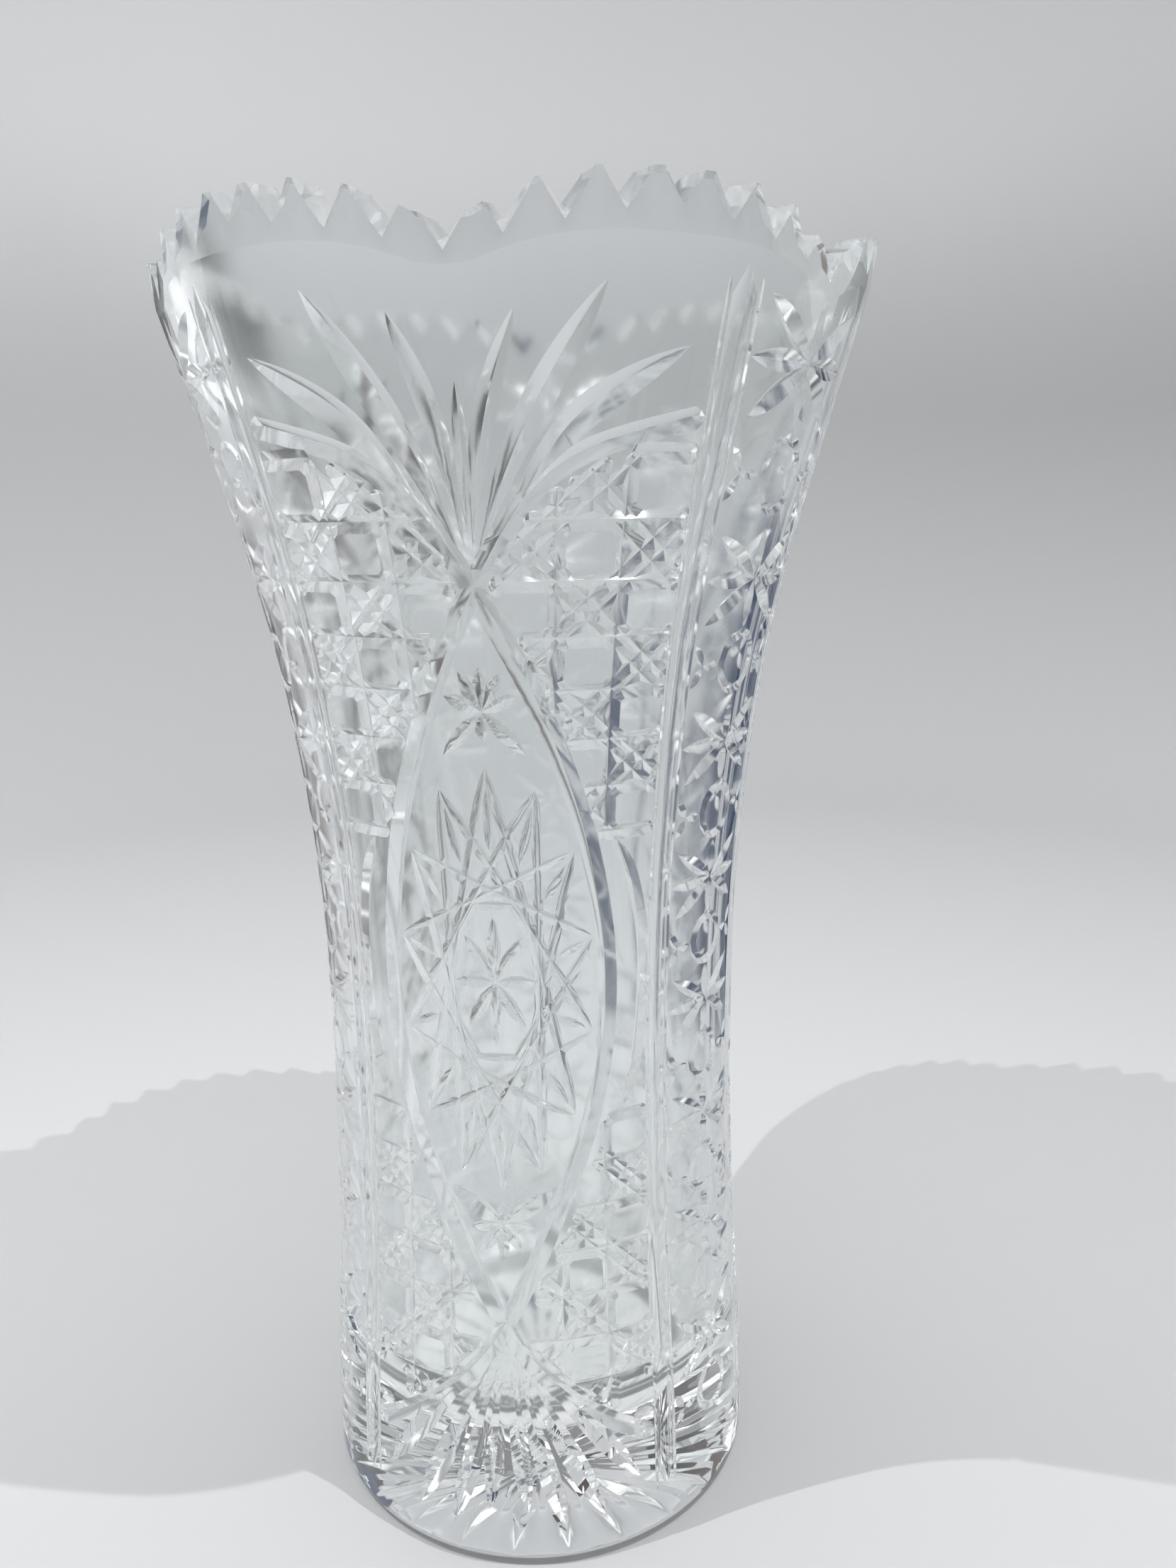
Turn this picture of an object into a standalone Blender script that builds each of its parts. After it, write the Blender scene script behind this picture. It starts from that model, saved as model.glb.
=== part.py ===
"""Cut crystal vase: one heavy piece of clear glass, waisted body, flared scalloped rim, cut outside.

Millimetres below are converted to metres when geometry is made. +Z is up and the origin is the
centre of the flat face that the vase rests on. Panel angles are measured from -Y towards +X.
"""

import math

import bmesh
import bpy
from mathutils import Matrix, Vector

MM = 0.001

# Driving dimensions, in millimetres and degrees.
HEIGHT = 305.0
OUTER_STATIONS = (  # height, outer radius
    (0.0, 56.7), (30.0, 55.7), (70.0, 53.3), (120.0, 52.2), (165.0, 53.5),
    (210.0, 58.7), (240.0, 65.2), (270.0, 73.5), (305.0, 83.7),
)
WALL_LOW = 9.0  # wall thickness, measured level, just above the base
WALL_RIM = 7.0  # wall thickness, measured level, at the rim
BASE_THICKNESS = 24.0  # solid glass under the inside
INNER_CORNER = 22.0  # radius of the rounded inside bottom
HEEL_RADIUS = 3.5  # rounded edge around the foot

PANELS = 3  # wide panels, alternating with narrow ones
RIB_ANGLE = 41.25  # from the middle of a wide panel to the rib beside it
RIB_WIDTH = 4.4
RIB_DEPTH = 0.7
RIB_BOTTOM = 14.0  # height where the ribs start
RIB_TOP = 292.0

SCALLOPS = 6
SCALLOP_DIP = 10.6
SCALLOP_POWER = 2.9
VALLEY_FLAT = 0.9  # the rim runs level past this share of the way to a valley
TEETH = 48
TOOTH_DEPTH = 4.2
VALLEY_EXTRA = 7.6  # how much lower the notches lie at the scallops' valleys
VALLEY_POWER = 1.3
TOOTH_TILT = 32.0  # a notch runs down towards the outside
RIM_ZONE = 270.0  # the scallops fade out at this height
BEVEL_HEIGHT = 10.0  # the teeth stand on a steeper band, this tall
BEVEL_INSET = 1.6  # how far that band leans in by the rim

BAND_RADIUS = 2.2  # round groove that outlines the pointed ovals
BAND_DEPTH = 1.0
BAND_PATH = (  # panel angle, height: rib, lower crossing, one side of the oval, upper crossing, rib
    (-38.0, 29.0), (-20.0, 41.0), (-8.0, 52.5), (0.0, 63.8), (12.0, 88.0), (23.7, 118.0),
    (27.3, 147.0), (23.0, 176.5), (13.0, 206.0), (0.0, 233.8), (-10.0, 251.0), (-20.0, 259.5),
    (-38.0, 265.5),
)

STAR_RAYS = 24  # cut under the base
STAR_INNER = 8.0
STAR_OUTER = 46.0
STAR_RAY_WIDTH = 4.4
STAR_DEPTH = 1.2

TURNS = 48  # facets around the turned body
PROFILE_STEP = 21.0  # height of one ring of facets
RIB_RINGS = 12
BAND_SAMPLES = 26
WELD_DISTANCE = 0.02  # joins the slivers that crossing cuts leave

PARTS_NAME = "cut_crystal_vase"
CUTTERS_NAME = "cutters"


def slope_at(stations, index):
    """Slope of the smooth curve at a station, from its two neighbours."""
    low = max(index - 1, 0)
    high = min(index + 1, len(stations) - 1)
    return (stations[high][1] - stations[low][1]) / (stations[high][0] - stations[low][0])


def outer_radius(height):
    """Outer radius at a height, on a smooth curve through the stations."""
    last = len(OUTER_STATIONS) - 2
    index = 0
    while index < last and OUTER_STATIONS[index + 1][0] < height:
        index += 1
    (low, radius_low), (high, radius_high) = OUTER_STATIONS[index], OUTER_STATIONS[index + 1]
    span = high - low
    t = (height - low) / span
    slope_low = slope_at(OUTER_STATIONS, index) * span
    slope_high = slope_at(OUTER_STATIONS, index + 1) * span
    return (
        (2 * t**3 - 3 * t**2 + 1) * radius_low + (t**3 - 2 * t**2 + t) * slope_low
        + (3 * t**2 - 2 * t**3) * radius_high + (t**3 - t**2) * slope_high
    )


def inner_radius(height):
    """Inner radius at a height: the outer radius less a wall that thins towards the rim."""
    return outer_radius(height) - WALL_LOW + (WALL_LOW - WALL_RIM) * height / HEIGHT


def wall_point(angle, height, lift=0.0):
    """Point on the outer wall, or lifted off it along its normal, in metres."""
    lean = math.atan(outer_radius(height + 0.5) - outer_radius(height - 0.5))
    radius = outer_radius(height) + lift * math.cos(lean)
    level = height - lift * math.sin(lean)
    turn = math.radians(angle)
    return Vector((radius * math.sin(turn), -radius * math.cos(turn), level)) * MM


def valley_share(angle):
    """0 at the top of a scallop, 1 in the valley between two of them."""
    half = 180.0 / SCALLOPS
    return abs((angle % (2 * half)) - half) / half


def rim_height(angle):
    return HEIGHT - SCALLOP_DIP * min(valley_share(angle), VALLEY_FLAT) ** SCALLOP_POWER


def new_collection(name):
    collection = bpy.data.collections.new(name)
    bpy.context.scene.collection.children.link(collection)
    return collection


def glass_material():
    material = bpy.data.materials.new("clear_crystal")
    material.use_nodes = True
    shader = material.node_tree.nodes["Principled BSDF"]
    shader.inputs["Base Color"].default_value = (0.95, 0.97, 0.965, 1.0)
    shader.inputs["Metallic"].default_value = 0.0
    shader.inputs["Roughness"].default_value = 0.02
    shader.inputs["IOR"].default_value = 1.54
    shader.inputs["Transmission Weight"].default_value = 1.0
    return material


def body_profile():
    """Half section, from the inside bottom up over the rim, down the outside and in to the axis."""
    points = [(0.0, BASE_THICKNESS)]
    corner_top = BASE_THICKNESS + INNER_CORNER
    corner_side = inner_radius(corner_top)
    corner_steps = 4
    for step in range(corner_steps + 1):
        turn = math.pi / 2 * step / corner_steps
        points.append((
            corner_side - INNER_CORNER * (1 - math.sin(turn)),
            corner_top - INNER_CORNER * math.cos(turn),
        ))
    rings = round((HEIGHT - corner_top) / PROFILE_STEP)
    for ring in range(1, rings + 1):
        height = corner_top + (HEIGHT - corner_top) * ring / rings
        points.append((inner_radius(height), height))
    points.append((outer_radius(HEIGHT) - BEVEL_INSET, HEIGHT))
    bevel_foot = HEIGHT - BEVEL_HEIGHT
    rings = round((bevel_foot - HEEL_RADIUS) / PROFILE_STEP)
    for ring in range(rings + 1):
        height = bevel_foot + (HEEL_RADIUS - bevel_foot) * ring / rings
        points.append((outer_radius(height), height))
    heel_side = outer_radius(HEEL_RADIUS)
    heel_steps = 3
    for step in range(1, heel_steps + 1):
        turn = math.pi / 2 * step / heel_steps
        points.append((
            heel_side - HEEL_RADIUS * (1 - math.cos(turn)),
            HEEL_RADIUS * (1 - math.sin(turn)),
        ))
    points.append((0.0, 0.0))
    return points


def turned_body(collection):
    """Turn the half section about Z, then let the rim rise and dip in scallops.

    Half a facet of turn puts the facets' edges under the teeth and not in the notches.
    """
    points = body_profile()
    mesh = bpy.data.meshes.new("profile")
    edges = [(index, index + 1) for index in range(len(points) - 1)]
    mesh.from_pydata([(x * MM, 0.0, z * MM) for x, z in points], edges, [])
    profile = bpy.data.objects.new("profile", mesh)
    collection.objects.link(profile)
    screw = profile.modifiers.new("turn", "SCREW")
    screw.steps = TURNS
    screw.render_steps = TURNS
    screw.use_merge_vertices = True
    screw.merge_threshold = 0.00001
    bpy.context.view_layer.update()
    evaluated = profile.evaluated_get(bpy.context.evaluated_depsgraph_get())
    turned = bpy.data.meshes.new_from_object(evaluated)
    bpy.data.objects.remove(profile)
    turned.transform(Matrix.Rotation(math.pi / TURNS, 4, "Z"))
    for vertex in turned.vertices:
        height = vertex.co.z / MM
        if height > RIM_ZONE:
            angle = math.degrees(math.atan2(vertex.co.x, -vertex.co.y))
            share = (height - RIM_ZONE) / (HEIGHT - RIM_ZONE)
            lowered = height + share * (rim_height(angle) - HEIGHT)
            drawn_in = outer_radius(lowered) - outer_radius(height)
            radius = math.hypot(vertex.co.x, vertex.co.y) / MM
            vertex.co.x *= (radius + drawn_in) / radius
            vertex.co.y *= (radius + drawn_in) / radius
            vertex.co.z = lowered * MM
    turned.name = "vase_body"
    body = bpy.data.objects.new("vase_body", turned)
    collection.objects.link(body)
    return body


def smooth_path(points, samples):
    """Evenly counted samples of the smooth curve (Catmull-Rom) through a list of points."""
    path = []
    last = len(points) - 1
    for sample in range(samples + 1):
        place = last * sample / samples
        index = min(int(place), last - 1)
        t = place - index
        p0, p1 = points[max(index - 1, 0)], points[index]
        p2, p3 = points[index + 1], points[min(index + 2, last)]
        path.append(tuple(
            0.5 * (2 * b + (c - a) * t + (2 * a - 5 * b + 4 * c - d) * t**2
                   + (3 * b - a - 3 * c + d) * t**3)
            for a, b, c, d in zip(p0, p1, p2, p3)
        ))
    return path


def tube_mesh(points, radius):
    """Closed tube through the points, made from a curve with a round bevel."""
    curve = bpy.data.curves.new("tube", "CURVE")
    curve.dimensions = "3D"
    curve.bevel_depth = radius * MM
    curve.bevel_resolution = 1
    curve.use_fill_caps = True
    spline = curve.splines.new("POLY")
    spline.points.add(len(points) - 1)
    for spot, point in zip(spline.points, points):
        spot.co = (*point, 1.0)
    holder = bpy.data.objects.new("tube", curve)
    bpy.context.scene.collection.objects.link(holder)
    bpy.context.view_layer.update()
    evaluated = holder.evaluated_get(bpy.context.evaluated_depsgraph_get())
    mesh = bpy.data.meshes.new_from_object(evaluated)
    bpy.data.objects.remove(holder)
    bpy.data.curves.remove(curve)
    return mesh


def cutter_object(name, shapes, collection):
    """One hidden cutter that holds several closed shapes."""
    joined = bmesh.new()
    for mesh in shapes:
        joined.from_mesh(mesh)
        bpy.data.meshes.remove(mesh)
    bmesh.ops.remove_doubles(joined, verts=joined.verts, dist=0.00001)
    bmesh.ops.recalc_face_normals(joined, faces=joined.faces)
    mesh = bpy.data.meshes.new(name)
    joined.to_mesh(mesh)
    joined.free()
    cutter = bpy.data.objects.new(name, mesh)
    cutter.hide_render = True
    cutter.display_type = "WIRE"
    collection.objects.link(cutter)
    return cutter


def rib_cutter(collection):
    """Upright round flutes, one on each side of every wide panel."""
    radius = (RIB_WIDTH**2 / 4 + RIB_DEPTH**2) / (2 * RIB_DEPTH)
    spacing = (RIB_TOP - RIB_BOTTOM) / RIB_RINGS
    heights = [RIB_BOTTOM + spacing * ring for ring in range(RIB_RINGS + 1)]
    shapes = []
    for panel in range(PANELS):
        for side in (-1, 1):
            angle = 360.0 * panel / PANELS + side * RIB_ANGLE
            route = [wall_point(angle, height, radius - RIB_DEPTH) for height in heights]
            shapes.append(tube_mesh(route, radius))
    return cutter_object("rib_cutter", shapes, collection)


def band_cutter(name, side, collection):
    """The grooves of one hand: each outlines one side of a panel's oval and runs on to the ribs."""
    shapes = []
    for panel in range(PANELS):
        middle = 360.0 * panel / PANELS
        route = [
            wall_point(middle + side * angle, height, BAND_RADIUS - BAND_DEPTH)
            for angle, height in smooth_path(BAND_PATH, BAND_SAMPLES)
        ]
        shapes.append(tube_mesh(route, BAND_RADIUS))
    return cutter_object(name, shapes, collection)


def notch_cutter(name, first, collection):
    """Every second notch between the rim's teeth: three-sided prisms that point down."""
    reach = 12.0  # centre of the prism to each of its edges
    length = 26.0
    narrow = 0.92  # squeezes the prism sideways, so the teeth are pointed
    shapes = []
    for notch in range(first, TEETH, 2):
        angle = 360.0 * notch / TEETH
        floor = HEIGHT - TOOTH_DEPTH - VALLEY_EXTRA * valley_share(angle) ** VALLEY_POWER
        prism = bmesh.new()
        bmesh.ops.create_cone(
            prism, cap_ends=True, segments=3, radius1=reach * MM, radius2=reach * MM,
            depth=length * MM,
        )
        corner = max(prism.verts, key=lambda vertex: vertex.co.y)
        assert abs(corner.co.x) < 0.00001
        lay_flat = Matrix.Rotation(math.radians(-90.0), 4, "X")
        squeeze = Matrix.Diagonal((narrow, 1.0, 1.0, 1.0))
        tilt = Matrix.Rotation(math.radians(TOOTH_TILT), 4, "X")
        middle = outer_radius(floor) - WALL_RIM / 2
        place = Matrix.Translation(Vector((0.0, -middle, floor + reach)) * MM)
        around = Matrix.Rotation(math.radians(angle), 4, "Z")
        prism.transform(around @ place @ tilt @ lay_flat @ squeeze)
        mesh = bpy.data.meshes.new("notch")
        prism.to_mesh(mesh)
        prism.free()
        shapes.append(mesh)
    return cutter_object(name, shapes, collection)


def star_cutter(collection):
    """Leaf-shaped rays under the base: flat eight-sided spindles, half of each below the glass."""
    shapes = []
    half = (STAR_OUTER - STAR_INNER) / 2
    for ray in range(STAR_RAYS):
        spindle = bmesh.new()
        bmesh.ops.create_uvsphere(spindle, u_segments=4, v_segments=2, radius=1.0)
        stretch = Matrix.Diagonal((half * MM, STAR_RAY_WIDTH / 2 * MM, STAR_DEPTH * MM, 1.0))
        out = Matrix.Translation(Vector((STAR_INNER + half, 0.0, 0.0)) * MM)
        around = Matrix.Rotation(2 * math.pi * ray / STAR_RAYS, 4, "Z")
        spindle.transform(around @ out @ stretch)
        mesh = bpy.data.meshes.new("ray")
        spindle.to_mesh(mesh)
        spindle.free()
        shapes.append(mesh)
    return cutter_object("star_cutter", shapes, collection)


def cut(body, cutter):
    """Cut with the manifold solver: the exact one fails where two notches leave a thin tooth."""
    boolean = body.modifiers.new(cutter.name, "BOOLEAN")
    boolean.operation = "DIFFERENCE"
    boolean.solver = "MANIFOLD"
    boolean.object = cutter


def build():
    for old in list(bpy.data.objects):
        bpy.data.objects.remove(old)
    parts = new_collection(PARTS_NAME)
    cutters = new_collection(CUTTERS_NAME)
    body = turned_body(parts)
    body.data.materials.clear()
    body.data.materials.append(glass_material())
    cut(body, notch_cutter("notch_cutter_even", 0, cutters))
    cut(body, notch_cutter("notch_cutter_odd", 1, cutters))
    cut(body, rib_cutter(cutters))
    cut(body, band_cutter("band_cutter_right", 1, cutters))
    cut(body, band_cutter("band_cutter_left", -1, cutters))
    cut(body, star_cutter(cutters))
    weld = body.modifiers.new("weld", "WELD")
    weld.merge_threshold = WELD_DISTANCE * MM


build()
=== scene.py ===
"""Cut crystal vase: the blank is turned, then every mitre, leaf and star is cut into it as a real groove.

Lengths are millimetres until geometry is made, in metres. A place on the wall is (angle, height):
the angle in degrees from the middle of a wide panel, which faces -Y, towards +X, and the height
above the foot. The cutting repeats every 120 degrees: a wide panel, a rib, a narrow panel, a rib.
"""

import math
from collections import namedtuple

import bmesh
import bpy
import numpy as np
from mathutils import Matrix, Vector


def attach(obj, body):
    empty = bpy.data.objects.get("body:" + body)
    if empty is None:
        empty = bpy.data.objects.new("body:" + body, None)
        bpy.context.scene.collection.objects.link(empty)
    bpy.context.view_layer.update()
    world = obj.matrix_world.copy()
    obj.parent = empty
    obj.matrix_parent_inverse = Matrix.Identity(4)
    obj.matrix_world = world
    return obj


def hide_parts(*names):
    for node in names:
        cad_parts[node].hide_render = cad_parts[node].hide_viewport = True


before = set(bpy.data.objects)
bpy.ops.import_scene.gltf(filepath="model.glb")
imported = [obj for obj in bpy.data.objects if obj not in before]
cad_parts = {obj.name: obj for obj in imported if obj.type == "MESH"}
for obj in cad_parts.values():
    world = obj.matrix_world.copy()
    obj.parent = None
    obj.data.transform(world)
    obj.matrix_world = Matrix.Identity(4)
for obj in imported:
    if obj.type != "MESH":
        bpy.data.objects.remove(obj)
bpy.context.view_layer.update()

MM = 0.001

# The blank, as in the CAD model.
HEIGHT = 305.0
STATION_HEIGHTS = np.array([0.0, 30.0, 70.0, 120.0, 165.0, 210.0, 240.0, 270.0, 305.0])
STATION_RADII = np.array([56.7, 55.7, 53.3, 52.2, 53.5, 58.7, 65.2, 73.5, 83.7])
WALL_LOW = 9.0
WALL_RIM = 7.0
BASE_THICKNESS = 24.0
INNER_CORNER = 22.0
HEEL_RADIUS = 3.5
PANELS = 3
SCALLOPS = 6
SCALLOP_DIP = 10.6  # how far the rim sinks between two scallops
SCALLOP_POWER = 2.9
VALLEY_FLAT = 0.9  # the blank's rim is level past this share of the way to a valley
TEETH = 48
TOOTH_DEPTH = 4.2
VALLEY_EXTRA = 7.6  # how much lower the notches lie at the valleys
VALLEY_POWER = 1.3
TOOTH_TILT = 32.0  # a notch runs down towards the outside
RIM_ZONE = 270.0  # the scallops fade out at this height
BEVEL_HEIGHT = 10.0  # the teeth stand on a steeper band, this tall
BEVEL_INSET = 1.6  # how far that band leans in by the rim
TURNS = 144  # facets around the turned blank
PROFILE_STEP = 4.5  # height of one ring of facets

# The cutting.
MITRE_SLOPE = 0.70  # depth of a mitre cut over half its width
SHOULDER = 0.5  # how far polishing has turned a cut's upper edge towards the wall
CUTTER_LIFT = 0.5  # how far a cutter stands out of the glass
RIB_ANGLE = 41.25
RIB_HALF = 2.45  # half the width of a rib's flute, in degrees
RIB_DEPTH = 0.7
RIB_FOOT = 12.0
RIB_HEAD = 292.0
LOWER_CROSSING = 63.8
UPPER_CROSSING = 233.8
OVAL_SIDE = ((0.0, LOWER_CROSSING), (12.0, 88.0), (23.7, 118.0), (27.3, 147.0), (23.0, 176.5),
             (13.0, 206.0), (0.0, UPPER_CROSSING))
UPPER_ARM = ((-10.0, 251.0), (-20.0, 259.5), (-38.0, 265.5))
LOWER_ARM = ((-38.0, 29.0), (-20.0, 41.0), (-8.0, 52.5))
BAND_WIDTH = 4.6
CRESCENT = ((28.6, 180.5), (33.5, 170.0), (36.4, 157.0), (36.9, 146.0), (36.2, 134.0), (34.3, 124.0),
            (31.0, 115.5))

Cut = namedtuple("Cut", "path widths section closed")


def outer_radius(height):
    """Outer radius on the smooth curve through the stations, for one height or an array of them."""
    height = np.asarray(height, dtype=float)
    last = len(STATION_HEIGHTS) - 1
    index = np.clip(np.searchsorted(STATION_HEIGHTS, height) - 1, 0, last - 1)
    before, after = np.maximum(index - 1, 0), np.minimum(index + 2, last)

    def slope(low, high):
        return (STATION_RADII[high] - STATION_RADII[low]) / (STATION_HEIGHTS[high] - STATION_HEIGHTS[low])

    span = STATION_HEIGHTS[index + 1] - STATION_HEIGHTS[index]
    t = (height - STATION_HEIGHTS[index]) / span
    return (
        (2 * t**3 - 3 * t**2 + 1) * STATION_RADII[index]
        + (t**3 - 2 * t**2 + t) * slope(before, index + 1) * span
        + (3 * t**2 - 2 * t**3) * STATION_RADII[index + 1]
        + (t**3 - t**2) * slope(index, after) * span
    )


def inner_radius(height):
    return outer_radius(height) - WALL_LOW + (WALL_LOW - WALL_RIM) * np.asarray(height) / HEIGHT


def lean_at(radius_of, height):
    """Slope of a wall, radius over height."""
    return radius_of(np.asarray(height) + 0.25) * 2 - radius_of(np.asarray(height) - 0.25) * 2


def wall_frames(path):
    """Points of a path on the outer wall with the wall's normals there."""
    angles, heights = np.radians(path[:, 0]), path[:, 1]
    radii = outer_radius(heights)
    lean = lean_at(outer_radius, heights)
    points = np.stack([radii * np.sin(angles), -radii * np.cos(angles), heights], axis=1)
    normals = np.stack([np.sin(angles), -np.cos(angles), -lean], axis=1)
    return points, normals / np.linalg.norm(normals, axis=1)[:, None]


def valley_share(angle):
    """0 at the top of a scallop, 1 in the valley between two of them."""
    half = 180.0 / SCALLOPS
    return abs((angle % (2 * half)) - half) / half


# ---------------------------------------------------------------- the blank


def blank_profile():
    """Outline of the blank, (radius, height), from the middle of the inside floor to that of the foot."""
    points = [(0.0, BASE_THICKNESS)]
    corner_top = BASE_THICKNESS + INNER_CORNER
    corner_side = float(inner_radius(corner_top))
    steps = 10
    for step in range(steps + 1):
        turn = math.pi / 2 * step / steps
        points.append((
            corner_side - INNER_CORNER * (1 - math.sin(turn)),
            corner_top - INNER_CORNER * math.cos(turn),
        ))
    rings = round((HEIGHT - corner_top) / (2 * PROFILE_STEP))
    for ring in range(1, rings + 1):
        height = corner_top + (HEIGHT - corner_top) * ring / rings
        points.append((float(inner_radius(height)), height))
    points.append((float(outer_radius(HEIGHT)) - BEVEL_INSET, HEIGHT))
    bevel_foot = HEIGHT - BEVEL_HEIGHT
    rings = round((bevel_foot - HEEL_RADIUS) / PROFILE_STEP)
    for ring in range(rings + 1):
        height = bevel_foot + (HEEL_RADIUS - bevel_foot) * ring / rings
        points.append((float(outer_radius(height)), height))
    heel_side = float(outer_radius(HEEL_RADIUS))
    steps = 6
    for step in range(1, steps + 1):
        turn = math.pi / 2 * step / steps
        points.append((
            heel_side - HEEL_RADIUS * (1 - math.cos(turn)),
            HEEL_RADIUS * (1 - math.sin(turn)),
        ))
    points.append((0.0, 0.0))
    return points


def turned_blank():
    """The uncut glass: the outline turned round, with its rim drawn down into scallops."""
    points = blank_profile()
    mesh = bpy.data.meshes.new("profile")
    edges = [(index, index + 1) for index in range(len(points) - 1)]
    mesh.from_pydata([(x * MM, 0.0, z * MM) for x, z in points], edges, [])
    profile = bpy.data.objects.new("profile", mesh)
    bpy.context.scene.collection.objects.link(profile)
    screw = profile.modifiers.new("turn", "SCREW")
    screw.steps = screw.render_steps = TURNS
    screw.use_merge_vertices = True
    screw.merge_threshold = 0.00001
    bpy.context.view_layer.update()
    turned = bpy.data.meshes.new_from_object(profile.evaluated_get(bpy.context.evaluated_depsgraph_get()))
    bpy.data.objects.remove(profile)
    turned.transform(Matrix.Rotation(math.pi / TURNS, 4, "Z"))
    for vertex in turned.vertices:
        height = vertex.co.z / MM
        if height > RIM_ZONE:
            angle = math.degrees(math.atan2(vertex.co.x, -vertex.co.y))
            share = (height - RIM_ZONE) / (HEIGHT - RIM_ZONE)
            dip = SCALLOP_DIP * min(valley_share(angle), VALLEY_FLAT) ** SCALLOP_POWER
            lowered = height - share * dip
            drawn_in = float(outer_radius(lowered) - outer_radius(height))
            radius = math.hypot(vertex.co.x, vertex.co.y) / MM
            vertex.co.x *= (radius + drawn_in) / radius
            vertex.co.y *= (radius + drawn_in) / radius
            vertex.co.z = lowered * MM
    body = bpy.data.objects.new("crystal_vase", turned)
    bpy.context.scene.collection.objects.link(body)
    return body


# ---------------------------------------------------------------- kinds of cut


def smooth_path(points, spacing):
    """Samples of the smooth curve through some places, about this many millimetres apart."""
    points = np.array(points, dtype=float)
    dense = []
    last = len(points) - 1
    for index in range(last):
        p0, p1 = points[max(index - 1, 0)], points[index]
        p2, p3 = points[index + 1], points[min(index + 2, last)]
        for t in np.arange(0.0, 1.0, 0.02):
            dense.append(0.5 * (2 * p1 + (p2 - p0) * t + (2 * p0 - 5 * p1 + 4 * p2 - p3) * t**2
                                + (3 * p1 - p0 - 3 * p2 + p3) * t**3))
    dense = np.array(dense + [points[-1]])
    flat = wall_frames(dense)[0]
    along = np.concatenate([[0.0], np.cumsum(np.linalg.norm(np.diff(flat, axis=0), axis=1))])
    count = max(int(math.ceil(along[-1] / spacing)), 2)
    wanted = np.linspace(0.0, along[-1], count + 1)
    path = np.stack([np.interp(wanted, along, dense[:, 0]), np.interp(wanted, along, dense[:, 1])], axis=1)
    return path, along[-1]


def leaf(points, width, peak=0.55, spacing=2.6):
    """A cut that deepens and runs out again, widest at this share of its length."""
    path, _ = smooth_path(points, spacing)
    t = np.linspace(0.0, 1.0, len(path))
    widths = width * np.sin(math.pi * t ** (math.log(0.5) / math.log(peak))) ** 0.8
    return Cut(path, widths, "mitre", False)


def line(points, width, taper=2.0, spacing=5.0):
    """An even mitre cut whose ends run out over a short way."""
    path, length = smooth_path(points, spacing)
    along = np.linspace(0.0, length, len(path))
    extra = [value for value in (taper * 0.35, taper, length - taper, length - taper * 0.35)
             if 0.0 < value < length]
    wanted = np.unique(np.concatenate([along, extra]))
    path = np.stack([np.interp(wanted, along, path[:, 0]), np.interp(wanted, along, path[:, 1])], axis=1)
    ends = np.minimum(wanted, length - wanted) / taper
    return Cut(path, width * np.sqrt(np.clip(ends, 0.0, 1.0)), "mitre", False)


def ring(centre, half_angle, half_height, width, corners, turn=0.0):
    """A closed mitre around a button or a window."""
    turns = 2 * math.pi * (np.arange(corners) + turn) / corners
    across = centre[0] + half_angle * np.sin(turns)
    up = centre[1] + half_height * np.cos(turns)
    path = np.stack([across, up], axis=1)
    return Cut(path, np.full(corners, width), "mitre", True)


def flute(angle, low, high):
    """An upright shallow round groove, as wide as a rib."""
    path, length = smooth_path(((angle, low), (angle, (low + high) / 2), (angle, high)), 6.0)
    widths = 2 * RIB_HALF * math.pi / 180 * outer_radius(path[:, 1])
    ends = np.minimum(path[:, 1] - low, high - path[:, 1]) / 6.0
    return Cut(path, widths * np.sqrt(np.clip(ends, 0.0, 1.0)), "flute", False)


def section_of(kind, width):
    """Half-open outline of a cutter across its path: (sideways, outwards) pairs, edge to edge."""
    half = width / 2
    if kind == "flute":
        rise = half + 0.4
        sides = np.linspace(-1.0, 1.0, 9)
        share = min(width / 2.0, 1.0)
        outline = [(side * half, -RIB_DEPTH * share * (1 - side * side) + 0.02) for side in sides]
        return [(-rise, CUTTER_LIFT)] + outline + [(rise, CUTTER_LIFT)]
    top = half + CUTTER_LIFT / MITRE_SLOPE
    return [(-top, CUTTER_LIFT), (0.0, 0.05 - half * MITRE_SLOPE), (top, CUTTER_LIFT)]


# ---------------------------------------------------------------- the pattern of one third


def oval_edge(height):
    """Angle of the pointed oval's side at a height."""
    path, _ = OVAL_PATH
    return np.interp(height, path[:, 1], path[:, 0], left=0.0, right=0.0)


def star(centre, rays, width):
    """Leaf-shaped rays from a centre to places given as steps from it."""
    cuts = []
    for across, up, *own in rays:
        middle = (centre[0] + across * 0.5, centre[1] + up * 0.5)
        tip = (centre[0] + across, centre[1] + up)
        cuts.append(leaf((centre, middle, tip), own[0] if own else width, 0.5, 2.2))
    return cuts


def bands():
    """Two crossing mitres that outline the pointed oval and run out to the ribs."""
    cuts = []
    for side in (-1, 1):
        places = LOWER_ARM + OVAL_SIDE + UPPER_ARM
        cuts.append(line([(side * angle, height) for angle, height in places], BAND_WIDTH, 2.0, 4.0))
        cuts.append(line([(side * angle, height) for angle, height in CRESCENT], 3.2, 8.0, 4.0))
    return cuts


def ribs():
    """A shallow flute on either side of the wide panel, between two fine mitres."""
    cuts = []
    for side in (-1, 1):
        cuts.append(flute(side * RIB_ANGLE, RIB_FOOT, RIB_HEAD))
        for flank in (-1, 1):
            angle = side * RIB_ANGLE + flank * (RIB_HALF + 0.45)
            places = [(angle, height) for height in (RIB_FOOT, 100.0, 200.0, RIB_HEAD - 2.0)]
            cuts.append(line(places, 1.1, 4.0, 7.0))
    return cuts


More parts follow.
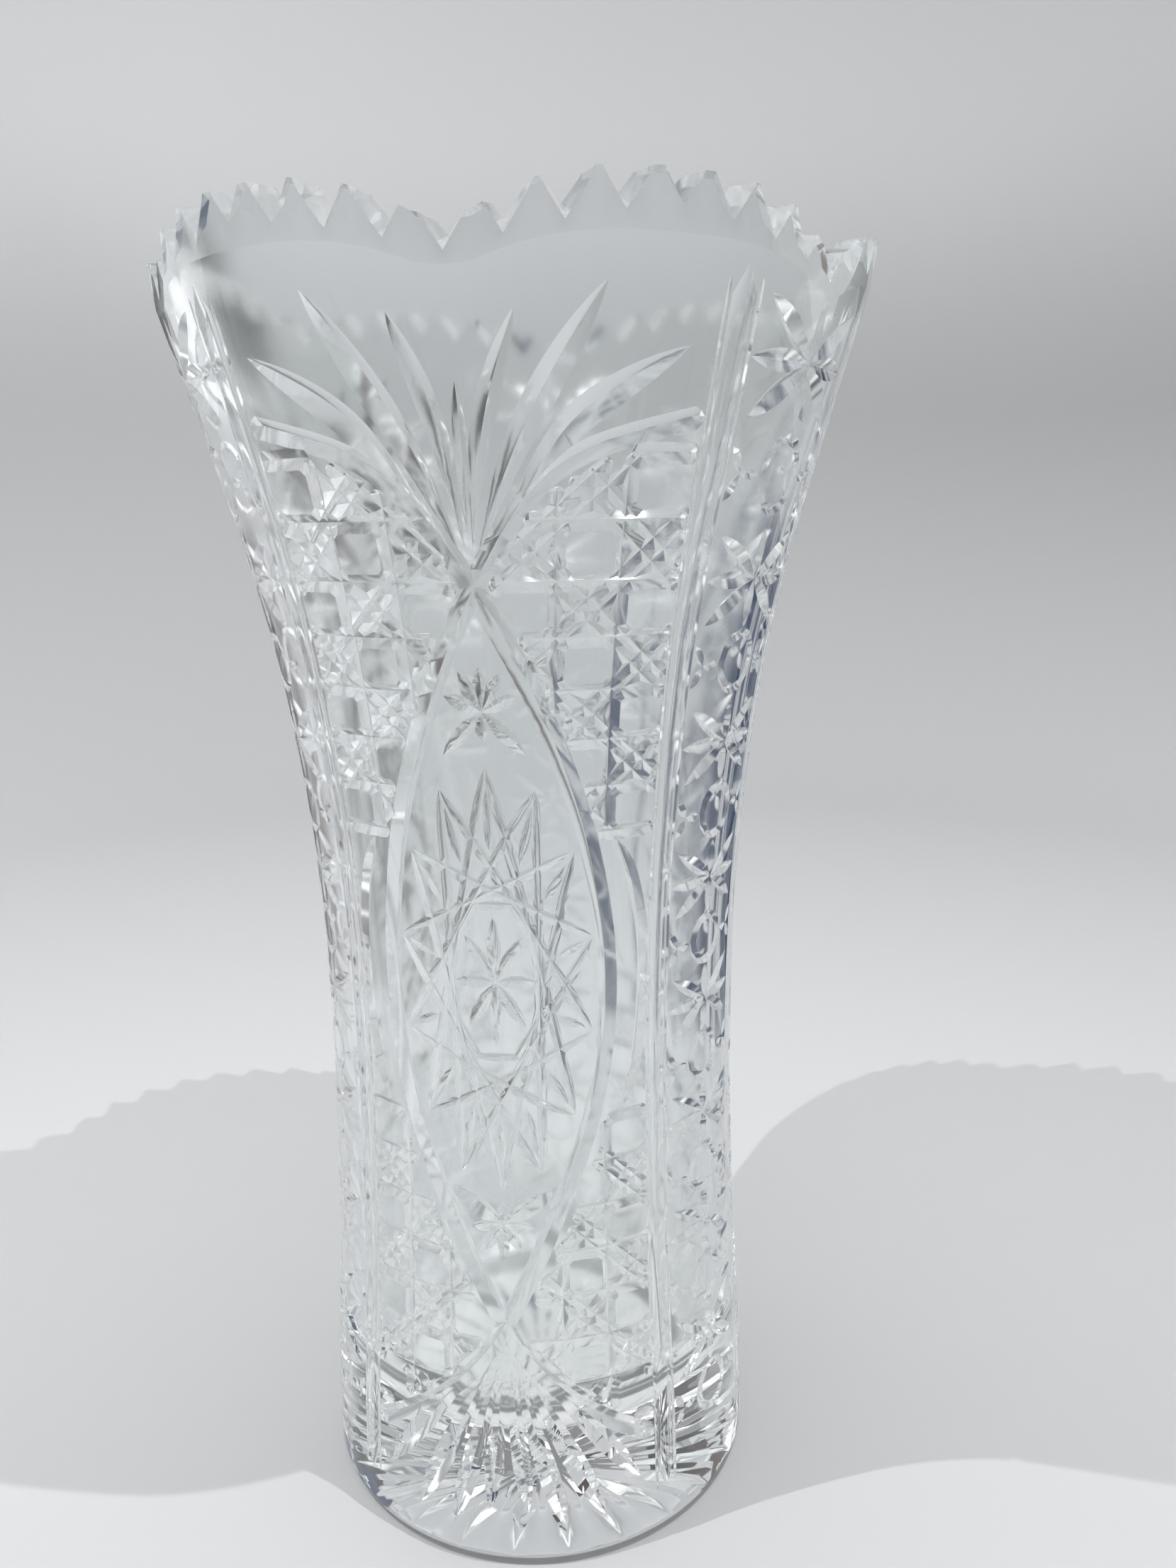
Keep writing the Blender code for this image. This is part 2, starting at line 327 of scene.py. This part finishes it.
def upper_fan():
    """Curved leaves that open upwards from the upper crossing."""
    cuts = [leaf(((0.0, 244.0), (0.1, 258.0), (0.0, 272.0)), 3.0)]
    shapes = (
        (((0.6, 240.0), (2.0, 254.0), (4.2, 267.0), (8.6, 283.0)), 4.6),
        (((0.9, 238.0), (4.2, 248.5), (10.0, 264.0), (20.8, 287.5)), 6.2),
        (((1.3, 236.8), (7.0, 246.5), (17.5, 264.5), (33.8, 277.5)), 6.2),
    )
    for side in (-1, 1):
        for places, width in shapes:
            cuts.append(leaf([(side * angle, height) for angle, height in places], width, 0.62))
    return cuts


def lower_fan():
    """Leaves that open downwards from the lower crossing to the foot."""
    cuts = []
    shapes = (
        (((0.5, 57.0), (2.6, 36.0), (4.8, 14.5)), 4.8),
        (((1.0, 57.5), (6.8, 36.0), (14.2, 9.5)), 5.4),
        (((1.6, 58.5), (11.5, 38.0), (24.2, 11.0)), 5.6),
        (((2.4, 59.5), (16.5, 42.0), (33.8, 18.5)), 5.2),
    )
    for side in (-1, 1):
        for places, width in shapes:
            cuts.append(leaf([(side * angle, height) for angle, height in places], width, 0.66))
    return cuts


def oval_filling():
    """Tall hobstar with a small star above it and one below, inside the pointed oval."""
    cuts = []
    middle, wide, tall = 147.0, 24.2, 50.4
    points, skip = 14, 5
    tips = [
        (wide * math.sin(2 * math.pi * k / points), middle + tall * math.cos(2 * math.pi * k / points))
        for k in range(points)
    ]
    for k in range(points):
        start, end = tips[k], tips[(k + skip) % points]
        centre = ((start[0] + end[0]) / 2, (start[1] + end[1]) / 2)
        cuts.append(line((start, centre, end), 2.4, 9.0, 4.0))
        places = [(start[0] * share, middle + (start[1] - middle) * share) for share in (0.62, 0.77, 0.92)]
        cuts.append(leaf(places, 2.2, 0.45, 2.2))
    cuts.append(ring((0.0, 148.5), 12.0, 19.2, 2.0, 8, 0.5))
    window = [
        (10.0 * math.sin(math.pi * k / 4), 15.6 * math.cos(math.pi * k / 4), 3.2) for k in range(8)
    ]
    cuts += star((0.0, 148.5), window, 3.2)
    cuts += star((0.0, 209.0), (
        (8.8, -9.4), (-8.8, -9.4), (7.6, 3.4), (-7.6, 3.4), (4.2, 8.5), (-4.2, 8.5), (0.0, 9.5), (0.0, -6.5),
    ), 3.4)
    cuts += star((0.0, 89.5), (
        (13.4, 9.0, 5.0), (-13.4, 9.0, 5.0), (8.2, -1.0), (-8.2, -1.0), (4.8, -7.0), (-4.8, -7.0),
        (0.0, -9.5), (0.0, 6.0),
    ), 3.0)
    return cuts


COLUMN_EDGE = 2.9  # first upright of the cane field
COLUMN_PITCH = 11.8
LATTICE_WIDTH = 0.06  # mitre width of the cane field over the wall's radius


def row_edges(first, rise, rows):
    """Heights of the cane field's level mitres: rows as tall as this share of a column's width."""
    centres = [first]
    for _ in range(rows):
        centres.append(centres[-1] + rise * float(outer_radius(centres[-1])) * math.radians(COLUMN_PITCH))
    edges = [centres[0] - (centres[1] - centres[0]) / 2]
    edges += [(low + high) / 2 for low, high in zip(centres, centres[1:])]
    return np.array(edges)


def clipped_lines(places, inside, width_share):
    """Even mitres along the stretches of a fine path that lie inside a region."""
    keep = [inside(abs(angle), height) for angle, height in places]
    cuts = []
    start = None
    for index in range(len(places) + 1):
        if index < len(places) and keep[index]:
            start = index if start is None else start
        elif start is not None:
            run = places[start:index]
            start = None
            if len(run) < 3:
                continue
            points, _ = wall_frames(np.array(run))
            if np.linalg.norm(points[-1] - points[0]) < 4.0:
                continue
            width = width_share * float(outer_radius(run[len(run) // 2][1]))
            cuts.append(line((run[0], run[len(run) // 2], run[-1]), width, 1.2, 6.0))
    return cuts


def cane_field(edges, inside):
    """Uprights, levels and pairs of slanting mitres: they leave eight-sided buttons between them."""
    cuts = []
    rows = len(edges) - 1
    steps = 160
    pair = 0.20
    for side in (-1, 1):

        def place(u, v):
            return (side * (COLUMN_EDGE + COLUMN_PITCH * u), float(np.interp(v, range(rows + 1), edges)))

        for column in range(3):
            cuts += clipped_lines([place(column, rows * k / steps) for k in range(steps + 1)], inside,
                                  LATTICE_WIDTH)
        for row in range(rows + 1):
            cuts += clipped_lines([place(3.0 * k / steps, row) for k in range(steps + 1)], inside,
                                  LATTICE_WIDTH)
        for shift in range(-rows - 3, rows + 4):
            for offset in (-pair, pair):
                if shift % 2:
                    rising = [(3.0 * k / steps, 3.0 * k / steps - shift + offset) for k in range(steps + 1)]
                    places = [place(u, v) for u, v in rising if 0 <= v <= rows]
                    cuts += clipped_lines(places, inside, LATTICE_WIDTH * 0.85)
                else:
                    falling = [(3.0 * k / steps, shift + offset - 3.0 * k / steps) for k in range(steps + 1)]
                    places = [place(u, v) for u, v in falling if 0 <= v <= rows]
                    cuts += clipped_lines(places, inside, LATTICE_WIDTH * 0.85)
    return cuts


def upper_cane():
    """The cane field between the oval, the rib and the band above."""
    top_arm, _ = smooth_path(((0.0, UPPER_CROSSING),) + tuple((-a, h) for a, h in UPPER_ARM), 1.0)

    def inside(angle, height):
        roof = np.interp(angle, top_arm[:, 0], top_arm[:, 1]) - 3.2
        return 179.0 < height < roof and oval_edge(height) + 2.4 < angle < 38.6

    return cane_field(row_edges(186.7, 0.89, 7), inside)


def lower_cane():
    """The same field below the oval's middle, down to the lower band."""
    low_arm, _ = smooth_path(tuple((-a, h) for a, h in LOWER_ARM) + ((0.0, LOWER_CROSSING),), 1.0)
    order = np.argsort(low_arm[:, 0])

    def inside(angle, height):
        floor = np.interp(angle, low_arm[order, 0], low_arm[order, 1]) + 3.2
        return floor < height < 114.5 and oval_edge(height) + 4.0 < angle < 38.6

    return cane_field(row_edges(41.7, 1.01, 7), inside)


def narrow_panel():
    """A column of eight-point stars and round buttons, from rim to foot."""
    cuts = []
    middle = 60.0
    height = 276.5
    while height > 20.0:
        size = float(outer_radius(height)) / 65.0
        cuts += star((middle, height), (
            (15.4, 0.0, 4.0 * size), (-15.4, 0.0, 4.0 * size), (13.6, 9.6 * size), (-13.6, 9.6 * size),
            (13.6, -9.6 * size), (-13.6, -9.6 * size), (0.0, 11.0 * size, 3.4), (0.0, -11.0 * size, 3.4),
        ), 4.2 * size)
        below = height - 0.565 * float(outer_radius(height))
        button = (height + below) / 2
        size = float(outer_radius(button)) / 65.0
        if button > 22.0:
            cuts.append(ring((middle, button), 6.0, 6.8 * size, 2.4, 12))
            cuts += star((middle - 12.0, button), ((4.6, 0.0), (-3.0, 5.2 * size), (-3.0, -5.2 * size)), 2.6)
            cuts += star((middle + 12.0, button), ((-4.6, 0.0), (3.0, 5.2 * size), (3.0, -5.2 * size)), 2.6)
        height = below
    return cuts


def pattern():
    return (ribs() + bands() + upper_fan() + lower_fan() + oval_filling() + upper_cane() + lower_cane()
            + narrow_panel())


OVAL_PATH = smooth_path(OVAL_SIDE, 1.0)


# ---------------------------------------------------------------- making and using the cutters


def cutter_geometry(cut):
    """Vertices and faces of the closed bar that sweeps along a cut."""
    points, normals = wall_frames(cut.path)
    if cut.closed:
        along = np.roll(points, -1, axis=0) - np.roll(points, 1, axis=0)
    else:
        along = np.gradient(points, axis=0)
    sideways = np.cross(normals, along)
    sideways /= np.linalg.norm(sideways, axis=1)[:, None]
    vertices = []
    for point, normal, side, width in zip(points, normals, sideways, cut.widths):
        for across, out in section_of(cut.section, float(width)):
            vertices.append((point + side * across + normal * out) * MM)
    around = len(section_of(cut.section, 1.0))
    count = len(points)
    faces = []
    for step in range(count if cut.closed else count - 1):
        here, ahead = step * around, (step + 1) % count * around
        for k in range(around):
            beside = (k + 1) % around
            faces.append((here + k, here + beside, ahead + beside, ahead + k))
    if not cut.closed:
        faces.append(tuple(range(around))[::-1])
        faces.append(tuple((count - 1) * around + k for k in range(around)))
    return vertices, faces


def reach_of(cut):
    """Points along a cut with the radius that its cutter fills around them, for telling cuts apart."""
    length = len(cut.path)
    closed = np.vstack([cut.path, cut.path[:1]]) if cut.closed else cut.path
    widths = np.append(cut.widths, cut.widths[0]) if cut.closed else cut.widths
    fine = np.linspace(0, len(closed) - 1, max(length * 4, 12))
    path = np.stack([np.interp(fine, range(len(closed)), closed[:, k]) for k in (0, 1)], axis=1)
    reach = np.interp(fine, range(len(closed)), widths) / 2 + CUTTER_LIFT / MITRE_SLOPE + 0.15
    return wall_frames(path)[0], reach


def turned(points, angle):
    c, s = math.cos(math.radians(angle)), math.sin(math.radians(angle))
    return points @ np.array([[c, s, 0.0], [-s, c, 0.0], [0.0, 0.0, 1.0]])


def touching(one, other):
    """Whether two cuts, or one and a repeat of the other, come within reach of each other."""
    points, reach = one
    low, high = points.min(axis=0) - reach.max(), points.max(axis=0) + reach.max()
    for angle in (0.0, 120.0, -120.0):
        others = turned(other[0], angle)
        margin = other[1].max()
        if np.any(others.min(axis=0) - margin > high) or np.any(others.max(axis=0) + margin < low):
            continue
        gaps = np.linalg.norm(points[:, None, :] - others[None, :, :], axis=2)
        gaps = gaps - reach[:, None] - other[1][None, :]
        if gaps.min() < 0.0:
            return True
    return False


def batches(cuts):
    """Share the cuts out so that no two in a batch touch, because a cutter may not cross itself."""
    groups = []
    for cut in cuts:
        reach = reach_of(cut)
        for group in groups:
            if not any(touching(reach, other) for _, other in group):
                group.append((cut, reach))
                break
        else:
            groups.append([(cut, reach)])
    return [[cut for cut, _ in group] for group in groups]


def cutter_object(name, pieces):
    """One object holding closed shapes given as (vertices, faces)."""
    vertices, faces = [], []
    for own_vertices, own_faces in pieces:
        base = len(vertices)
        vertices += [tuple(vertex) for vertex in own_vertices]
        faces += [tuple(base + index for index in face) for face in own_faces]
    mesh = bpy.data.meshes.new(name)
    mesh.from_pydata(vertices, [], faces)
    shape = bmesh.new()
    shape.from_mesh(mesh)
    bmesh.ops.recalc_face_normals(shape, faces=shape.faces)
    shape.to_mesh(mesh)
    shape.free()
    cutter = bpy.data.objects.new(name, mesh)
    bpy.context.scene.collection.objects.link(cutter)
    return cutter


def pattern_cutters():
    """Cutters for the whole pattern: each batch once for every third of the vase."""
    cutters = []
    for number, group in enumerate(batches(pattern())):
        pieces = []
        for cut in group:
            vertices, faces = cutter_geometry(cut)
            for panel in range(PANELS):
                pieces.append((turned(np.array(vertices), 360.0 * panel / PANELS), faces))
        cutters.append(cutter_object(f"cuts_{number}", pieces))
    return cutters


NOTCH_LENGTH = 30.0
NOTCH_SIDE = ((0.0, 0.0), (3.0, 3.8), (4.1, 5.4), (4.9, 6.8), (5.6, 8.2), (6.2, 10.0), (6.2, 16.0))


def notch_cutters():
    """V notches between the teeth, in two sets because neighbours meet above the rounded tips.

    NOTCH_SIDE is half a notch's outline, (sideways, up) from its floor: it opens out to round a tooth.
    """
    outline = [(-across, up) for across, up in reversed(NOTCH_SIDE[1:])] + list(NOTCH_SIDE)
    around = len(outline)
    faces = [tuple(range(around))[::-1], tuple(range(around, 2 * around))]
    faces += [(k, (k + 1) % around, around + (k + 1) % around, around + k) for k in range(around)]
    cutters = []
    for first in (0, 1):
        pieces = []
        for notch in range(first, TEETH, 2):
            angle = 360.0 * notch / TEETH
            floor = HEIGHT - TOOTH_DEPTH - VALLEY_EXTRA * valley_share(angle) ** VALLEY_POWER
            middle = float(outer_radius(floor)) - WALL_RIM / 2
            place = (
                Matrix.Rotation(math.radians(angle), 4, "Z")
                @ Matrix.Translation(Vector((0.0, -middle, floor)))
                @ Matrix.Rotation(math.radians(TOOTH_TILT), 4, "X")
            )
            vertices = [
                np.array(place @ Vector((across, along, up))) * MM
                for along in (NOTCH_LENGTH / 2, -NOTCH_LENGTH / 2) for across, up in outline
            ]
            pieces.append((vertices, faces))
        cutters.append(cutter_object(f"notches_{first}", pieces))
    return cutters


STAR_RAYS = 24  # cut under the base
STAR_INNER = 8.0
STAR_OUTER = 46.0
STAR_RAY_WIDTH = 4.4
STAR_DEPTH = 1.2


def base_cutter():
    """Leaf-shaped rays under the foot: flat spindles, half of each below the glass."""
    pieces = []
    half = (STAR_OUTER - STAR_INNER) / 2
    for ray in range(STAR_RAYS):
        spindle = bmesh.new()
        bmesh.ops.create_uvsphere(spindle, u_segments=4, v_segments=2, radius=1.0)
        spindle.transform(
            Matrix.Rotation(2 * math.pi * ray / STAR_RAYS, 4, "Z")
            @ Matrix.Translation(Vector((STAR_INNER + half, 0.0, 0.0)) * MM)
            @ Matrix.Diagonal((half * MM, STAR_RAY_WIDTH / 2 * MM, STAR_DEPTH * MM, 1.0))
        )
        vertices = [np.array(vertex.co) for vertex in spindle.verts]
        faces = [tuple(vertex.index for vertex in face.verts) for face in spindle.faces]
        spindle.free()
        pieces.append((vertices, faces))
    return cutter_object("base_star", pieces)


WELD_DISTANCE = 0.004  # joins the slivers that crossing cuts leave


def cut_away(body, cutters):
    """Apply every cut, weld the slivers and drop the cutters."""
    for cutter in cutters:
        boolean = body.modifiers.new(cutter.name, "BOOLEAN")
        boolean.operation = "DIFFERENCE"
        boolean.solver = "MANIFOLD"
        boolean.object = cutter
    weld = body.modifiers.new("weld", "WELD")
    weld.merge_threshold = WELD_DISTANCE * MM
    bpy.context.view_layer.update()
    mesh = bpy.data.meshes.new_from_object(body.evaluated_get(bpy.context.evaluated_depsgraph_get()))
    body.modifiers.clear()
    old = body.data
    body.data = mesh
    bpy.data.meshes.remove(old)
    for cutter in cutters:
        data = cutter.data
        bpy.data.objects.remove(cutter)
        bpy.data.meshes.remove(data)


ON_WALL = 0.12  # a corner this near to the smooth wall lies on it
FLUSH = 0.9985  # cosine above which a facet counts as uncut wall


def smooth_walls(body):
    """Exact smooth normals where the blank's own walls are left, and polished shoulders on the cuts."""
    mesh = body.data
    mesh.shade_smooth()
    mesh.set_sharp_from_angle(angle=math.radians(18.0))
    count = len(mesh.loops)
    normals = np.empty(count * 3, dtype=np.float32)
    mesh.corner_normals.foreach_get("vector", normals)
    normals = normals.reshape(-1, 3)
    spots = np.empty(len(mesh.vertices) * 3)
    mesh.vertices.foreach_get("co", spots)
    spots = spots.reshape(-1, 3) / MM
    corner_vertex = np.empty(count, dtype=np.int32)
    mesh.loops.foreach_get("vertex_index", corner_vertex)
    sizes = np.empty(len(mesh.polygons), dtype=np.int32)
    mesh.polygons.foreach_get("loop_total", sizes)
    face_normals = np.empty(len(mesh.polygons) * 3)
    mesh.polygons.foreach_get("normal", face_normals)
    flat = np.repeat(face_normals.reshape(-1, 3), sizes, axis=0)
    x, y, z = spots[corner_vertex].T
    radius = np.maximum(np.hypot(x, y), 0.001)
    corner_top = BASE_THICKNESS + INNER_CORNER
    for radius_of, sign, low in ((outer_radius, 1.0, HEEL_RADIUS + 0.5), (inner_radius, -1.0, corner_top)):
        lean = lean_at(radius_of, z)
        wall = sign * np.stack([x / radius, y / radius, -lean], axis=1)
        wall /= np.linalg.norm(wall, axis=1)[:, None]
        near = (z > low) & (np.abs(radius - radius_of(z)) < ON_WALL)
        flush = (wall * flat).sum(axis=1)
        normals[near & (flush > FLUSH)] = wall[near & (flush > FLUSH)]
        shoulder = near & (flush <= FLUSH) & (flush > 0.5)
        rounded = normals[shoulder] + SHOULDER * wall[shoulder]
        normals[shoulder] = rounded / np.linalg.norm(rounded, axis=1)[:, None]
    mesh.normals_split_custom_set(normals)


# ---------------------------------------------------------------- material


def crystal_material(name, polished, hazed):
    """Clear lead crystal: faint cool tint, slight waviness, and roughness that varies between two values."""
    material = bpy.data.materials.new(name)
    material.use_nodes = True
    nodes, links = material.node_tree.nodes, material.node_tree.links
    shader = nodes["Principled BSDF"]
    shader.inputs["Metallic"].default_value = 0.0
    shader.inputs["IOR"].default_value = 1.54
    shader.inputs["Transmission Weight"].default_value = 1.0
    where = nodes.new("ShaderNodeTexCoord")
    tint = nodes.new("ShaderNodeTexNoise")
    tint.inputs["Scale"].default_value = 14.0
    tint.inputs["Detail"].default_value = 2.0
    links.new(where.outputs["Object"], tint.inputs["Vector"])
    ramp = nodes.new("ShaderNodeValToRGB")
    ramp.color_ramp.elements[0].position = 0.3
    ramp.color_ramp.elements[0].color = (0.955, 0.985, 0.98, 1.0)
    ramp.color_ramp.elements[1].position = 0.7
    ramp.color_ramp.elements[1].color = (0.985, 0.995, 0.995, 1.0)
    links.new(tint.outputs["Fac"], ramp.inputs["Fac"])
    links.new(ramp.outputs["Color"], shader.inputs["Base Color"])
    polish = nodes.new("ShaderNodeTexNoise")
    polish.inputs["Scale"].default_value = 90.0
    polish.inputs["Detail"].default_value = 3.0
    links.new(where.outputs["Object"], polish.inputs["Vector"])
    spread = nodes.new("ShaderNodeMapRange")
    spread.inputs["From Min"].default_value = 0.3
    spread.inputs["From Max"].default_value = 0.75
    spread.inputs["To Min"].default_value = polished
    spread.inputs["To Max"].default_value = hazed
    links.new(polish.outputs["Fac"], spread.inputs["Value"])
    links.new(spread.outputs["Result"], shader.inputs["Roughness"])
    waves = nodes.new("ShaderNodeTexNoise")
    waves.inputs["Scale"].default_value = 35.0
    waves.inputs["Detail"].default_value = 1.0
    links.new(where.outputs["Object"], waves.inputs["Vector"])
    bump = nodes.new("ShaderNodeBump")
    bump.inputs["Strength"].default_value = 0.12
    bump.inputs["Distance"].default_value = 0.0006
    links.new(waves.outputs["Fac"], bump.inputs["Height"])
    links.new(bump.outputs["Normal"], shader.inputs["Normal"])
    return material


POLISHED = (0.0, 0.035)  # least and most roughness outside
HAZED = (0.10, 0.16)  # and on the inside wall


def build_vase():
    """The one piece of glass, with a slightly rougher finish on the inside wall."""
    body = turned_blank()
    cut_away(body, notch_cutters() + pattern_cutters() + [base_cutter()])
    smooth_walls(body)
    body.data.materials.clear()
    body.data.materials.append(crystal_material("polished_crystal", *POLISHED))
    body.data.materials.append(crystal_material("hazed_inside", *HAZED))
    for face in body.data.polygons:
        spot = face.center / MM
        inside = math.hypot(spot.x, spot.y) < inner_radius(spot.z) + 1.0 and spot.z > BASE_THICKNESS - 1.0
        face.material_index = 1 if inside else 0
    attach(body, "root")
    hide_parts("vase_body")


# ---------------------------------------------------------------- stage, light and camera


def paper_painted_shade_material():
    """Pale paper, white where it lies flat and faintly mottled, with painted shade: a greyer band low on the
    wall, lighter wall above it, dark at the very top, and the wall greyer towards +X.
    """
    material = bpy.data.materials.new("pale_paper_painted_shade")
    material.use_nodes = True
    nodes, links = material.node_tree.nodes, material.node_tree.links
    shader = nodes["Principled BSDF"]
    shader.inputs["Roughness"].default_value = 0.9
    shader.inputs["Specular IOR Level"].default_value = 0.1
    where = nodes.new("ShaderNodeTexCoord")
    split = nodes.new("ShaderNodeSeparateXYZ")
    links.new(where.outputs["Object"], split.inputs["Vector"])
    noise = nodes.new("ShaderNodeTexNoise")
    noise.inputs["Scale"].default_value = 2.0
    links.new(where.outputs["Object"], noise.inputs["Vector"])
    sway = nodes.new("ShaderNodeMath")
    sway.operation = "MULTIPLY_ADD"
    sway.inputs[1].default_value = 0.12
    links.new(noise.outputs["Fac"], sway.inputs[0])
    links.new(split.outputs["Z"], sway.inputs[2])
    # Tone by height: the floor's own pale tone, then painted shade as a greyer band low on the wall, lighter
    # wall above it, and dark at the very top.
    height_tone_painted_band = nodes.new("ShaderNodeValToRGB")
    height_tone_painted_band.color_ramp.interpolation = "EASE"
    stops = height_tone_painted_band.color_ramp.elements
    stops[0].position = 0.08
    stops[0].color = (0.57, 0.572, 0.58, 1.0)
    stops[1].position = 0.42
    stops[1].color = (0.56, 0.565, 0.57, 1.0)
    for position, grey in ((0.72, 0.76), (0.95, 0.72), (1.0, 0.30)):
        stops.new(position).color = (grey, grey, grey * 1.01, 1.0)
    links.new(sway.outputs["Value"], height_tone_painted_band.inputs["Fac"])
    # Painted shade: the wall turns greyer towards +X, as if less light fell on that side; it is applied only
    # where the paper stands upright.
    shade = nodes.new("ShaderNodeMapRange")
    shade.inputs["From Min"].default_value = -0.5
    shade.inputs["From Max"].default_value = 0.9
    shade.inputs["To Min"].default_value = 1.0
    shade.inputs["To Max"].default_value = 0.74
    links.new(split.outputs["X"], shade.inputs["Value"])
    upright = nodes.new("ShaderNodeMapRange")
    upright.inputs["From Min"].default_value = 0.03
    upright.inputs["From Max"].default_value = 0.35
    links.new(split.outputs["Z"], upright.inputs["Value"])
    blend = nodes.new("ShaderNodeMix")
    blend.data_type = "RGBA"
    blend.blend_type = "MULTIPLY"
    links.new(upright.outputs["Result"], blend.inputs["Factor"])
    links.new(height_tone_painted_band.outputs["Color"], blend.inputs["A"])
    links.new(shade.outputs["Result"], blend.inputs["B"])
    links.new(blend.outputs["Result"], shader.inputs["Base Color"])
    return material


def card(name, spot, aim, size, colour):
    """An upright coloured card near the vase, seen only in and through the glass."""
    mesh = bpy.data.meshes.new(name)
    half, tall = size[0] / 2, size[1] / 2
    mesh.from_pydata([(-half, -tall, 0.0), (half, -tall, 0.0), (half, tall, 0.0), (-half, tall, 0.0)], [],
                     [(0, 1, 2, 3)])
    obj = bpy.data.objects.new(name, mesh)
    bpy.context.scene.collection.objects.link(obj)
    obj.location = spot
    obj.rotation_euler = (Vector(aim) - Vector(spot)).to_track_quat("Z", "Y").to_euler()
    obj.visible_camera = False
    obj.visible_diffuse = False
    obj.visible_shadow = False
    material = bpy.data.materials.new(name)
    material.use_nodes = True
    shader = material.node_tree.nodes["Principled BSDF"]
    shader.inputs["Base Color"].default_value = (*colour, 1.0)
    shader.inputs["Roughness"].default_value = 0.6
    obj.data.materials.append(material)


def build_stage():
    """A round pale floor that curves up into a backdrop, and cards whose colours show in the glass."""
    flat, bend, wall = 0.75, 0.35, 1.3
    points = [(0.0, -0.0004), (flat / 2, -0.0004), (flat, -0.0004)]
    for step in range(1, 13):
        turn = math.pi / 2 * step / 12
        points.append((flat + bend * math.sin(turn), bend * (1 - math.cos(turn))))
    points.append((flat + bend, wall))
    mesh = bpy.data.meshes.new("backdrop")
    mesh.from_pydata([(x, 0.0, z) for x, z in points], [(k, k + 1) for k in range(len(points) - 1)], [])
    stage = bpy.data.objects.new("backdrop", mesh)
    bpy.context.scene.collection.objects.link(stage)
    screw = stage.modifiers.new("turn", "SCREW")
    screw.steps = screw.render_steps = 96
    screw.use_merge_vertices = True
    screw.merge_threshold = 0.00001
    screw.use_normal_flip = True
    screw.use_smooth_shade = True
    stage.data.materials.append(paper_painted_shade_material())
    card("blue_card", (0.185, 0.20, 0.10), (0.0, 0.0, 0.10), (0.20, 0.20), (0.005, 0.030, 0.085))
    card("brown_card", (-0.21, 0.19, 0.12), (0.0, 0.0, 0.12), (0.08, 0.20), (0.04, 0.015, 0.006))
    for side in (-0.40, 0.40):
        card("dark_flag", (side, 0.44, 0.47), (0.0, 0.0, 0.30), (0.22, 0.32), (0.02, 0.02, 0.02))


def area_light(name, spot, aim, size, power, colour=(1.0, 1.0, 1.0)):
    data = bpy.data.lights.new(name, "AREA")
    data.shape = "RECTANGLE"
    data.size, data.size_y = size
    data.energy = power
    data.color = colour
    lamp = bpy.data.objects.new(name, data)
    bpy.context.scene.collection.objects.link(lamp)
    lamp.location = spot
    lamp.rotation_euler = (Vector(aim) - Vector(spot)).to_track_quat("-Z", "Y").to_euler()
    lamp.visible_camera = False
    return lamp


def build_light():
    """Two small lamps for crisp shadows and glints, broad soft panels, and a dim pad under the foot."""
    scene = bpy.context.scene
    scene.view_settings.view_transform = "Standard"
    scene.cycles.max_bounces = 32
    scene.cycles.transmission_bounces = 32
    scene.cycles.glossy_bounces = 24
    world = bpy.data.worlds.new("studio")
    scene.world = world
    world.use_nodes = True
    background = world.node_tree.nodes["Background"]
    background.inputs["Color"].default_value = (0.94, 0.97, 1.0, 1.0)
    background.inputs["Strength"].default_value = 0.66
    middle = (0.0, 0.0, 0.15)
    for name, spot, power in (
        ("key_right", (0.23, -0.15, 0.88), 2.7),
        ("key_left", (-0.35, -0.20, 0.86), 3.0),
    ):
        key = area_light(name, spot, (0.0, 0.0, 0.0), (0.004, 0.004), power)
        key.visible_transmission = False
    area_light("overhead", (0.0, 0.1, 1.5), (0.0, 0.0, 0.0), (1.4, 1.4), 7.4)
    pad = area_light("pad", (0.0, 0.0, -0.0002), (0.0, 0.0, 1.0), (0.095, 0.095), 0.011)
    pad.data.shape = "DISK"
    area_light("side_right", (0.92, 0.3, 0.4), middle, (0.7, 0.5), 0.8, (1.0, 0.99, 0.97))
    area_light("side_left", (-0.92, 0.3, 0.4), middle, (0.7, 0.5), 0.8, (0.97, 0.99, 1.0))


VIEW_TURN = 8.86  # the camera stands this far round from -Y towards +X
VIEW_DISTANCE = 0.2941
VIEW_HEIGHT = 0.2463
VIEW_YAW = 3.0
VIEW_PITCH = 12.56
VIEW_ROLL = -0.75
LENS = 27.05


def build_camera():
    turn = math.radians(VIEW_TURN)
    heading = math.radians(VIEW_YAW) - turn
    pitch, roll = math.radians(VIEW_PITCH), math.radians(VIEW_ROLL)
    forward = Vector((
        math.sin(heading) * math.cos(pitch), math.cos(heading) * math.cos(pitch), -math.sin(pitch),
    ))
    level = Vector((math.cos(heading), -math.sin(heading), 0.0))
    upright = level.cross(forward)
    right = math.cos(roll) * level + math.sin(roll) * upright
    up = -math.sin(roll) * level + math.cos(roll) * upright
    data = bpy.data.cameras.new("camera")
    data.lens = LENS
    data.sensor_width = 36.0
    data.clip_start = 0.01
    camera = bpy.data.objects.new("camera", data)
    bpy.context.scene.collection.objects.link(camera)
    turned_frame = Matrix((right, up, -forward)).transposed().to_4x4()
    place = Vector((math.sin(turn) * VIEW_DISTANCE, -math.cos(turn) * VIEW_DISTANCE, VIEW_HEIGHT))
    camera.matrix_world = Matrix.Translation(place) @ turned_frame
    bpy.context.scene.camera = camera


build_camera()
build_vase()
build_stage()
build_light()
